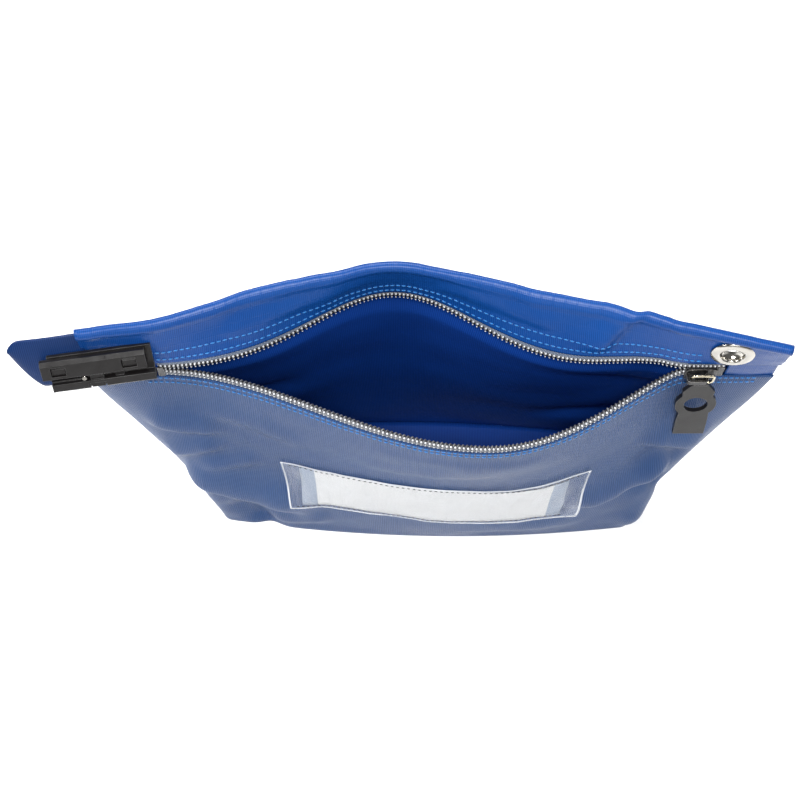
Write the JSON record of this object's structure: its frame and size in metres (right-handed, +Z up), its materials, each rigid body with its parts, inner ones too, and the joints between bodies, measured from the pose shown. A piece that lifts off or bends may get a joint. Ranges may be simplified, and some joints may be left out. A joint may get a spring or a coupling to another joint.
{
  "type": "cash deposit bag",
  "caption": "Zipped cash deposit bag of coated nylon, flat base, open mouth, seal chamber, pull tab, eyelet and clear name window.",
  "frame": {"origin": "centre of the base panel's underside, on the floor", "axes": "+X along the zip towards the eyelet, +Y from the front panel to the back, +Z up"},
  "size_m": [0.3666, 0.0841, 0.203],
  "materials": {
    "panel_cloth": "satin",
    "header_cloth": "satin",
    "base_cloth": "satin",
    "zip_tape": "matte",
    "zip_coil": "satin",
    "dark_metal": "satin",
    "wire_metal": "polished",
    "nickel": "polished",
    "black_plastic": "satin",
    "clear_film": "clear",
    "card": "matte"
  },
  "bodies": {
    "bag": {"front_panel": "panel_cloth", "back_panel": "header_cloth", "base_panel": "base_cloth", "header_strip": "header_cloth", "zip_end_tab": "header_cloth", "zip_tape_front": "zip_tape", "zip_tape_back": "zip_tape", "zip_coil_front": "zip_coil", "zip_coil_back": "zip_coil", "zip_stop_right": "dark_metal", "zip_stop_left": "dark_metal", "eyelet_barrel": "nickel", "eyelet_washer": "nickel", "seal_chamber_base": "black_plastic", "seal_chamber_cover": "black_plastic", "snap_hooks": "black_plastic", "seal_peg": "nickel", "chamber_back_plate": "black_plastic", "chamber_tab": "header_cloth", "window_film": "clear_film"},
    "slider": {"slider_body": "dark_metal", "slider_bridge": "dark_metal"},
    "link": {"pull_link": "wire_metal"},
    "tab": {"pull_tab": "black_plastic"},
    "card": {"name_card": "card"}
  },
  "joints": [
    {"name": "slider_travel", "type": "slide", "parent": "bag", "child": "slider", "axis": [-1, 0, 0], "range_m": [0, 0.2485], "deforming": ["front_panel", "zip_tape_front", "zip_tape_back", "zip_coil_front", "zip_coil_back"]},
    {"name": "link_swing", "type": "hinge", "parent": "slider", "child": "link", "pos_m": [0.1245, -0.0058, 0.17], "axis": [0, 0, -1], "range_deg": [0, 40]},
    {"name": "tab_swing", "type": "hinge", "parent": "link", "child": "tab", "pos_m": [0.12975, -0.0058, 0.166], "axis": [-1, 0, 0], "range_deg": [0, 95]},
    {"name": "card_slide", "type": "hinge", "parent": "bag", "child": "card", "pos_m": [0.0186, 0.2156, 0.08], "axis": [0, 0, 1], "range_deg": [0, 25], "deforming": ["name_card"]}
  ]
}
